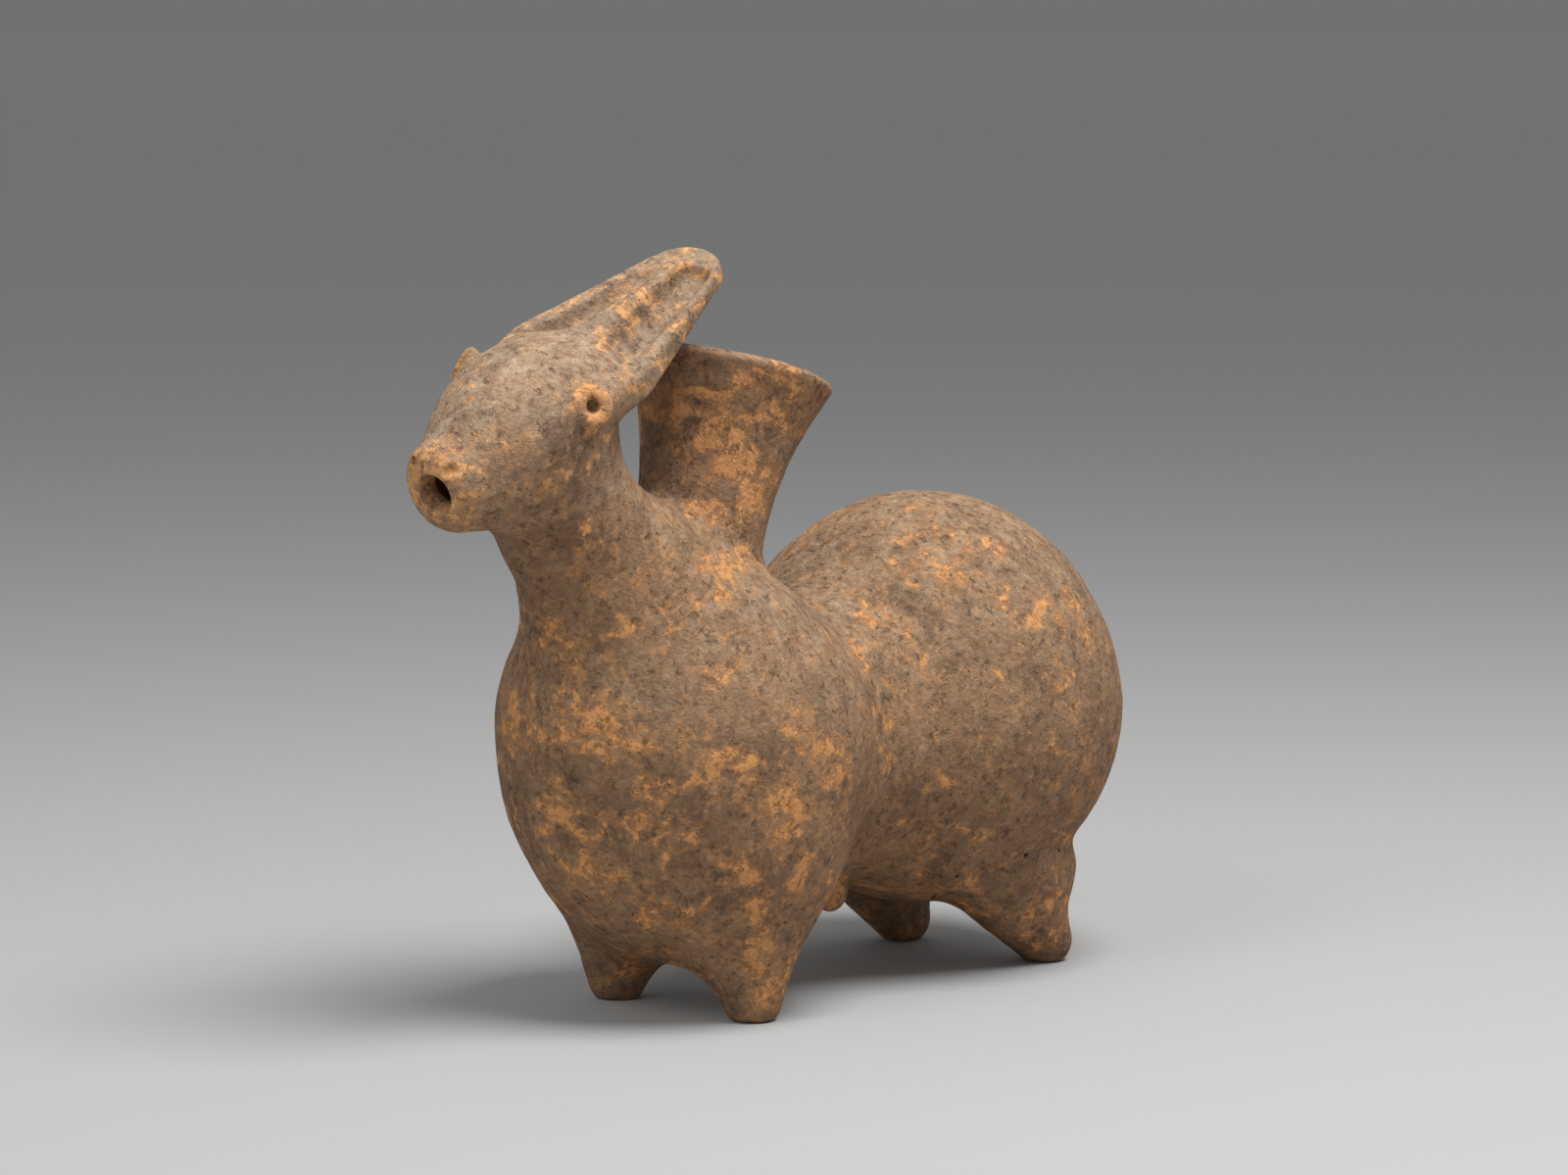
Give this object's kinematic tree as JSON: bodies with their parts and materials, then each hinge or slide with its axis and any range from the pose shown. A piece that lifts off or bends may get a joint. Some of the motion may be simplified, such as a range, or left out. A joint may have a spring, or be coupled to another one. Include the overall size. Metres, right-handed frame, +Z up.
{
  "type": "zoomorphic pouring vessel",
  "caption": "Hollow fired-clay vessel in the shape of a standing hare, with a flared filling funnel on the shoulders and a pierced muzzle as spout.",
  "frame": {"origin": "centre of the bounding box in X and Y, on the plane that the four feet stand on", "axes": "+Z up, -Y towards the head and muzzle, +X towards the animal's left side"},
  "size_m": [0.125, 0.2796, 0.2285],
  "materials": {
    "body_clay": "matt unglazed earthenware, stained taupe brown",
    "head_clay": "matt unglazed earthenware, worn to orange in places",
    "orange_clay": "matt unglazed earthenware, orange where the stain is rubbed off",
    "funnel_clay": "matt unglazed earthenware, orange brown with dark blotches",
    "leg_clay": "matt unglazed earthenware, brown with orange patches"
  },
  "bodies": {
    "root": {"chest_chamber": "body_clay", "rump_chamber": "body_clay", "neck": "body_clay", "head": "head_clay", "left_ear": "head_clay", "right_ear": "head_clay", "left_eye": "orange_clay", "right_eye": "orange_clay", "filling_funnel": "funnel_clay", "front_left_leg": "leg_clay", "front_right_leg": "leg_clay", "rear_left_leg": "leg_clay", "rear_right_leg": "leg_clay", "belly_lump": "funnel_clay"}
  },
  "joints": []
}
